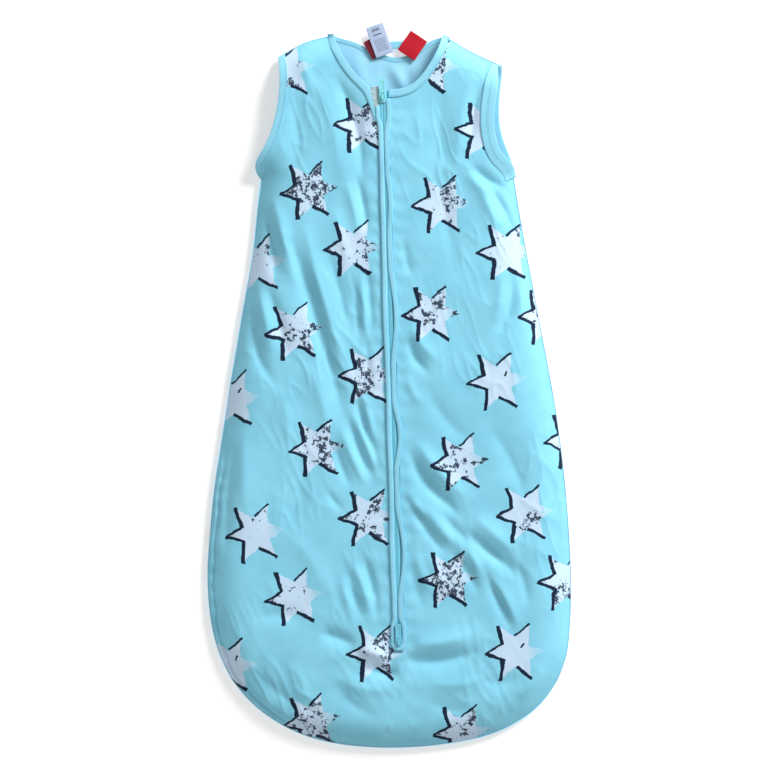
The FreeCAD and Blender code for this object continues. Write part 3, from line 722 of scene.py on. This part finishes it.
def stitch(a, b, up, radius):
    """One stitch of thread from a to b, as a thin spindle."""
    d = (b - a) / np.linalg.norm(b - a)
    side = np.cross(d, up)
    rings = []
    for place, size in ((0.0, 0.35), (0.2, 1.0), (0.8, 1.0), (1.0, 0.35)):
        c = a + (b - a) * place
        for ang in (0, 1, 2, 3, 4):
            q = ang * 2 * math.pi / 5
            rings.append(c + radius * size * (side * math.cos(q) + up * math.sin(q)))
    faces = [[i * 5 + j, i * 5 + (j + 1) % 5, (i + 1) * 5 + (j + 1) % 5, (i + 1) * 5 + j]
             for i in range(3) for j in range(5)]
    return np.array(rings), faces + [[4, 3, 2, 1, 0], [15, 16, 17, 18, 19]]


def stitches(name, lines, pitch=2.7, length=2.1, radius=0.26):
    """Rows of stitches along lines, as one piece."""
    parts = []
    for line in lines:
        fine = even(np.asarray(line, float), step=pitch)
        for a, b in zip(fine, fine[1:]):
            parts.append(stitch(a, a + (b - a) * (length / pitch), np.array([0, 0, 1.0]), radius))
    return joined(name, parts, thread)


def beside(line, offset, lift):
    """The line moved to its right in plan, and up."""
    t = np.gradient(line, axis=0)
    side = np.stack([t[:, 1], -t[:, 0]], 1)
    side /= np.linalg.norm(side, axis=1)[:, None]
    out = line.copy()
    out[:, :2] += side * (offset[:, None] if isinstance(offset, np.ndarray) else offset)
    out[:, 2] += lift
    return out


print("scene: outlines")
left_arm, right_arm, right_arm_back = (curve(p, step=3.0) for p in (LEFT_ARM, RIGHT_ARM, RIGHT_ARM_BACK))
front_left = np.vstack([left_side, left_arm[1:]])
front_right = np.vstack([right_side, right_arm[1:]])
back_right = np.vstack([right_side, right_arm_back[1:]])
top_front = path(LEFT_SHOULDER, FRONT_NECK, RIGHT_SHOULDER[::-1])
right_shoulder_back = [(123.5, 359), (104, 367.5), (85, 377), (64, 390)]
top_back = path(LEFT_SHOULDER, BACK_NECK, right_shoulder_back[::-1])

NS, NT = ((200, 330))
front = panel("front_cloth", top_front, front_left, front_right, front_height, NS, NT, star_jersey,
              stars=True)
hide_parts("front_shell", "side_and_hem_seam", "shoulder_seam_left", "shoulder_seam_right")
inside = panel("front_inside", top_front, front_left, front_right, front_height, 90, 150, lining_jersey,
               -1.3)
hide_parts("front_lining")
back = panel("back_cloth", top_back, front_left, back_right, back_height, 110, 190, star_jersey,
             slit=False, stars=True)
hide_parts("back_shell")


def lining_height(p):
    """The back's lining, with the soft creases seen through the neck."""
    z = back_height(p) + 1.3
    y = p[:, 1]
    calm = smooth(nearest(p, top_back), 1, 14)
    for points, height, width in [([(2, 362), (14, 340), (24, 318)], 3.0, 6),
                                  ([(-40, 372), (-30, 345), (-26, 320)], 2.0, 8),
                                  ([(30, 362), (34, 340), (30, 318)], 2.4, 8),
                                  ([(-8, 360), (-2, 340), (4, 322)], -0.6, 5)]:
        gap, place = along(p, curve(points, count=7))
        z += calm * height * np.exp(-((gap / width) ** 2)) * np.sin(np.pi * np.clip(place, 0.03, 0.97))
    return z + calm * 0.8 * (waves(p, 36.0, 2.2) + 0.6) * smooth(y, 150, 300)


back_inside = panel("back_inside", top_back, front_left, back_right, lining_height, 120, 200,
                    lining_jersey, slit=False)
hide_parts("back_lining")

# ---------------------------------------------------------------- bindings

print("scene: bindings")


def bound(name, flat, height, half, thick, cad, inward, rows, lift=0.6, taper=0.0):
    """A knit binding over an edge, with its rows of stitches.

    inward moves it off the edge, lift raises it, and taper narrows its last stretch.
    """
    line = even(np.c_[flat, np.zeros(len(flat))], step=2.0)
    centre = beside(line, inward, 0.0)
    centre[:, 2] = height(centre[:, :2]) + lift
    right, left = (height(beside(centre, reach, 0.0)[:, :2]) for reach in (3.0, -3.0))
    tilt = np.arctan((right - left) / 6.0)
    tilt = np.convolve(np.pad(tilt, 3, mode="edge"), np.full(7, 1 / 7), mode="valid")
    to_end = np.linalg.norm(line - line[-1], axis=1)
    slim = 1 - taper * (1 - smooth(to_end, 0, TAPER_RUN))
    ob = strip(name, centre, half * slim, thick, binding_knit, tilt=tilt)
    if cad:
        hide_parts(cad)
    if rows:
        lines = [beside(centre, r, thick / 2 - 0.02) + np.outer(r * np.tan(tilt), (0, 0, 1))
                 for r in rows]
        stitches(name + "_stitches", lines)
    return ob


neck_left = curve([(-66, 393), (-64.5, 384), (-57.5, 368), (-46.5, 350.5), (-34.5, 337), (-25.5, 327),
                   (-20, 314), (-17, 304), (-14.5, 294)], step=2.0)
neck_right = curve([(-1, 323.5), (12, 324.5), (27, 330), (40.5, 342), (51, 357.5), (60, 375),
                    (64.5, 391)], step=2.0)
bound("neck_binding_left", neck_left, front_height, 4.0, 0.8, "neck_binding", -1.6, (2.2, 3.3), taper=0.5)
bound("neck_binding_right", neck_right, front_height, 4.3, 0.8, None, -1.6, (2.4, 3.6))
back_neck = curve([(-65, 392.5)] + BACK_NECK[1:], step=2.0)
bound("neck_binding_back", back_neck, lambda p: back_height(p) + 0.6, 2.8, 1.2, None, 1.4, ())
bound("armhole_binding_left_front", left_arm, front_height, 4.2, 1.0, "armhole_binding_left", 2.2,
      (2.4, 3.6))
bound("armhole_binding_left_back", left_arm, lambda p: back_height(p) + 0.4, 4.2, 1.9, None, 3.0, ())
bound("armhole_binding_right_front", right_arm, front_height, 7.8, 1.2, "armhole_binding_right", -3.4,
      (-7.0, -0.6, 1.0), taper=0.45)
bound("armhole_binding_right_back", right_arm_back, lambda p: back_height(p) + 1.0, 4.2, 1.9, None,
      -3.0, (-3.0,))

# ---------------------------------------------------------------- the zip

print("scene: zip")
CHAIN_LOW, CHAIN_HIGH = -303.0, 307.2
TAPE_LOW, TAPE_HIGH = -307, 309
TAPE_Z = 21.9
TAPE_RISE = 1.6
# The bound lips beside the zip, and the rounded end that joins them.
LIP_LOW, LIP_TOP_RIGHT, LIP_TOP_LEFT = -297, 300, 292
LIP_Z, LIP_THICK, LIP_POWER = 23.9, 2.3, 0.62
END_HALF = 2.3
SLIDER_HALF = 4.1
# Lens-shaped gaps between the two bound edges: centre, half-length and width.
GAPS = [(281, 19, 2.4), (186, 28, 2.6), (62, 46, 5.2), (-70, 32, 5.8), (-198, 44, 6.6)]


def gap_width(v):
    """How wide the lips stand apart at each place along the zip."""
    out = np.zeros_like(v)
    for centre, half, width in GAPS:
        q = np.clip(np.abs(v - centre) / (1.15 * half), 0, 1)
        out = np.maximum(out, width * np.cos(q * np.pi / 2) ** 1.3)
    return out


def open_ends(v):
    """1 beside the sliders at rest, where the edges stand wide."""
    return np.maximum(smooth(v, -268, -281), smooth(v, 268, 281) * 0.85)


def lip_line(sign):
    """Where a bound lip runs along the zip: its places, inner edge and half-width."""
    v = np.arange(LIP_LOW, LIP_TOP_RIGHT if sign > 0 else LIP_TOP_LEFT, 2.0)
    wide = open_ends(v)
    gap = gap_width(v)
    if sign > 0:
        inner = 0.5 + gap * 0.95
    else:
        inner = 0.7 + 0.12 * gap + 0.25 * np.sin(v / 47.0)
    inner = inner * (1 - wide) + SLIDER_HALF * wide
    half = 2.8 - 0.1 * np.minimum(gap, 4) if sign > 0 else np.full_like(v, 2.6)
    return v, inner, half * (1 - 0.15 * wide)


def lip(sign):
    """One bound lip: the right one for sign 1 and the left one for -1."""
    v, inner, half = lip_line(sign)
    u = sign * (inner + half)
    x, y = zipped(u, v)
    line = np.stack([x, y, LIP_Z + 0.15 * np.sin(v / 9.0) - 0.5 * smooth(v, 200, 280)], 1)
    name = "zip_lip_right" if sign > 0 else "zip_lip_left"
    ob = strip(name, line, half, LIP_THICK, binding_knit, power=LIP_POWER)
    return ob, line, half


lip_right, line_r, half_r = lip(1)
lip_left, line_l, half_l = lip(-1)
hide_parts("zip_opening_binding")
stitches("zip_lip_stitches", [beside(line_r, half_r - 0.9, 1.02),
                              beside(line_l, -(half_l - 0.9), 1.02)], 2.6, 2.0, 0.2)
# The rounded end of the bound opening, below the lower slider.
turn = np.linspace(math.pi, 2 * math.pi, 27)
eu, ev = 6.35 * np.cos(turn), LIP_LOW + 0.5 + 6.5 * np.sin(turn)
ex, ey = zipped(eu, ev)
end_line = np.stack([ex, ey, np.full_like(ex, LIP_Z)], 1)
strip("zip_lip_end", end_line, END_HALF, LIP_THICK, binding_knit, power=LIP_POWER)


def ribbon(name, us, v0, v1, z, thick, material, slot, cad, rise=0.0):
    """A flat tape along the zip. rise lifts its middle over the coil."""
    v = np.arange(v0, v1 + 0.1, 3.0)
    u = np.array(us, float)
    top = []
    for z0 in (z + thick / 2, z - thick / 2):
        uu, vv = np.meshgrid(u, v)
        x, y = zipped(uu, vv)
        top.append(np.stack([x, y, z0 + rise * smooth(np.abs(uu), 5.4, 3.4)], -1))
    ob = slab(name, *top, len(v), len(u), material, slot)
    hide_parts(cad)
    return ob


# Where a tape's vertices lie across it, close together over the coil.
TAPE_U = [0.03, 1.2, 2.2, 3.2, 3.7, 4.2, 4.7, 5.2, 6.5, 9.0, 11.5]
for side, us in (("right", TAPE_U), ("left", [-u for u in reversed(TAPE_U)])):
    ribbon(f"zip_tape_{side}_cloth", us, TAPE_LOW, TAPE_HIGH, TAPE_Z, 0.5, tape_weave, "zip_tape",
           f"zip_tape_{side}", TAPE_RISE)
ribbon("zip_guard_cloth", np.linspace(-14, 14, 9), TAPE_LOW, 306, 19.6, 0.9, lining_jersey,
       "lining_jersey",
       "zip_guard")


def tooth(u0, u1, v, z, wide, high):
    """One turn of the coil, a rounded bar lying across the tape."""
    ring = [(-0.5, 0), (-0.42, 0.62), (0, 1), (0.42, 0.62), (0.5, 0)]
    pts = []
    for u in (u0, u0 * 0.55 + u1 * 0.45, u1):
        swell = 1.0 if u != u1 else 1.12
        for a, b in ring:
            x, y = zipped(u, v + a * wide * swell)
            pts.append((float(x), float(y), z + b * high * swell))
    faces = [[i * 5 + j, i * 5 + j + 1, (i + 1) * 5 + j + 1, (i + 1) * 5 + j]
             for i in range(2) for j in range(4)]
    return np.array(pts), faces + [[4, 3, 2, 1, 0], [10, 11, 12, 13, 14]]


PITCH = 1.35
for sign, name in ((1, "right"), (-1, "left")):
    start = CHAIN_LOW + (0.0 if sign > 0 else PITCH / 2)
    bars = [tooth(sign * 2.9, -sign * 0.55, v, 21.7, 1.02, 1.6)
            for v in np.arange(start, CHAIN_HIGH, PITCH)]
    if sign < 0:
        bars = [(p, [f[::-1] for f in faces]) for p, faces in bars]
    coil = joined(f"zip_coil_{name}_turns", bars, coil_nylon)
    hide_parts(f"zip_coil_{name}")
    x, y = zipped(np.full(320, sign * 2.55), np.linspace(CHAIN_LOW, CHAIN_HIGH, 320))
    stitches(f"zip_coil_{name}_sewing", [np.stack([x, y, np.full_like(x, 23.78)], 1)], 2.7, 2.2, 0.16)


def dress(node, material, bevel):
    """A CAD node shown as it is, with its edges softened."""
    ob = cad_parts[node]
    ob.data.materials.clear()
    ob.data.materials.append(material)
    weld = ob.modifiers.new("weld", "WELD")
    weld.merge_threshold = 0.00001
    soft = ob.modifiers.new("bevel", "BEVEL")
    soft.width, soft.segments, soft.limit_method, soft.angle_limit = bevel * MM, 2, "ANGLE", 0.6
    soft.harden_normals = False


for end, coat in (("upper", enamel), ("lower", enamel_low)):
    dress(f"{end}_slider", coat, 0.22)
    dress(f"{end}_pull", coat, 0.25)
for node in ("zip_top_stops", "zip_bottom_stop"):
    dress(node, coil_nylon, 0.15)

# The whitish ribbed facing that shows where the front's left corner curls away from the zip.
FACING_LOW, FACING_HIGH, FACING_NS, FACING_THICK = 276.0, 314.0, 9, 0.7
fv, fu = np.arange(FACING_LOW, FACING_HIGH, 1.0), np.linspace(0, 1, FACING_NS)
inner, outer = np.full_like(fv, -3.8), -5.0 - 8.0 * smooth(fv, 280, 300)
across = inner[:, None] + (outer - inner)[:, None] * fu[None]
up_zip = np.repeat(fv[:, None], FACING_NS, 1)
facing_x, facing_y = zipped(across, up_zip)
facing_z = 23.2 + 0.7 * np.sin(up_zip / 1.1) * 0.25 + 1.2 * np.sin(np.pi * fu)[None] * 0.6
facing = np.stack([facing_x, facing_y, facing_z], -1)
slab("zip_facing", facing, facing - (0, 0, FACING_THICK), len(fv), FACING_NS, facing_weave, "zip_tape")

# ---------------------------------------------------------------- labels

print("scene: labels")


def tape_label(name, width, length, x, y, z, lean, thick, material, slot, body, cad, curl):
    """A woven label sewn by its lower edge, which curls up by curl. lean is in degrees."""
    us, vs = np.linspace(-width / 2, width / 2, 11), np.linspace(-1.5, length, 14)
    uu, vv = np.meshgrid(us, vs)
    q = np.clip(vv / length, 0, 1)
    zz = z + curl * q**1.6 + 0.35 * np.sin(uu / 3.1 + 1.0) * q + 0.3 * np.sin(vv / 4.3)
    c, s = math.cos(math.radians(lean)), math.sin(math.radians(lean))
    X, Y = x + uu * c - vv * s, y + uu * s + vv * c
    top, low = (np.stack([X, Y, zz + off], -1) for off in (thick / 2, -thick / 2))
    ob = slab(name, top, low, 14, 11, material, slot, body)
    values = np.concatenate([np.stack([uu, vv, 0 * uu], -1).reshape(-1, 3)] * 2)
    attribute = ob.data.attributes.new("tape", "FLOAT_VECTOR", "POINT")
    attribute.data.foreach_set("vector", values.astype(np.float32).ravel())
    soft = ob.modifiers.new("bevel", "BEVEL")
    soft.width, soft.segments, soft.limit_method, soft.angle_limit = 0.12 * MM, 2, "ANGLE", 0.9
    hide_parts(cad)
    return ob


tape_label("care_label_tape", 20.0, 33.0, -5.0, 372, 5.3, 20, 0.35, care_print, "white_label",
           "neck_labels", "care_label", 1.0)
tape_label("size_label_tape", 19, 20, -10.5, 371.5, 4.2, 29, 0.4, maroon_satin, "dark_red_label",
           "neck_labels", "size_label", 0.3)
tape_label("tab_label_tape", 22.0, 24.0, 19.8, 371.5, 4.9, -34, 1.5, red_satin, "red_label",
           "tab_label", "tab_label", 0.8)

# ---------------------------------------------------------------- hanging loop

lx = curve([(-6, 370), (-7, 375), (1, 381), (10, 382), (19, 381), (27, 375), (26, 370)], step=1.2)
loop = strip("hanging_loop", np.c_[lx, np.full(len(lx), 3.3)], 4.2, 1.0, binding_knit)
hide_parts("hanger_loop")

# Each lip is given a mesh of its own.
for ob, sign in ((lip_right, 1), (lip_left, -1)):
    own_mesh(ob)

# ---------------------------------------------------------------- the set

floor = bpy.data.meshes.new("floor")
FLOOR_HALF, FLOOR_Z = 6, -0.0004  # metres
corners = [(-1, -1), (1, -1), (1, 1), (-1, 1)]
floor.from_pydata([(FLOOR_HALF * a, FLOOR_HALF * b, FLOOR_Z) for a, b in corners], [], [(0, 1, 2, 3)])
floor_ob = bpy.data.objects.new("floor", floor)
scene.collection.objects.link(floor_ob)
fm, fnt = tree("floor")
fw = Wiring(fnt)
fw.principled((0.9, 0.9, 0.9, 1), 0.9, Emission_Color=(1, 1, 1, 1), Emission_Strength=0.34)
floor.materials.append(fm)


def lamp(name, place, size, power, colour):
    """A round area lamp that faces the origin. place and size are metres."""
    data = bpy.data.lights.new(name, "AREA")
    data.shape, data.size, data.energy, data.color = "DISK", size, power, colour
    ob = bpy.data.objects.new(name, data)
    ob.location = place
    ob.rotation_euler = (Vector((0, 0, 0)) - Vector(place)).to_track_quat("-Z", "Y").to_euler()
    scene.collection.objects.link(ob)


lamp("key", (2.4, 2.7, 1.75), 1.7, 215, (0.985, 0.995, 1.0))
lamp("fill", (-1.4, -1.2, 1.9), 1.6, 7, (0.98, 0.99, 1.0))
world = bpy.data.worlds.new("world")
world.use_nodes = True
world.node_tree.nodes["Background"].inputs[0].default_value = (1.0, 0.965, 0.92, 1)
world.node_tree.nodes["Background"].inputs[1].default_value = 0.42
scene.world = world
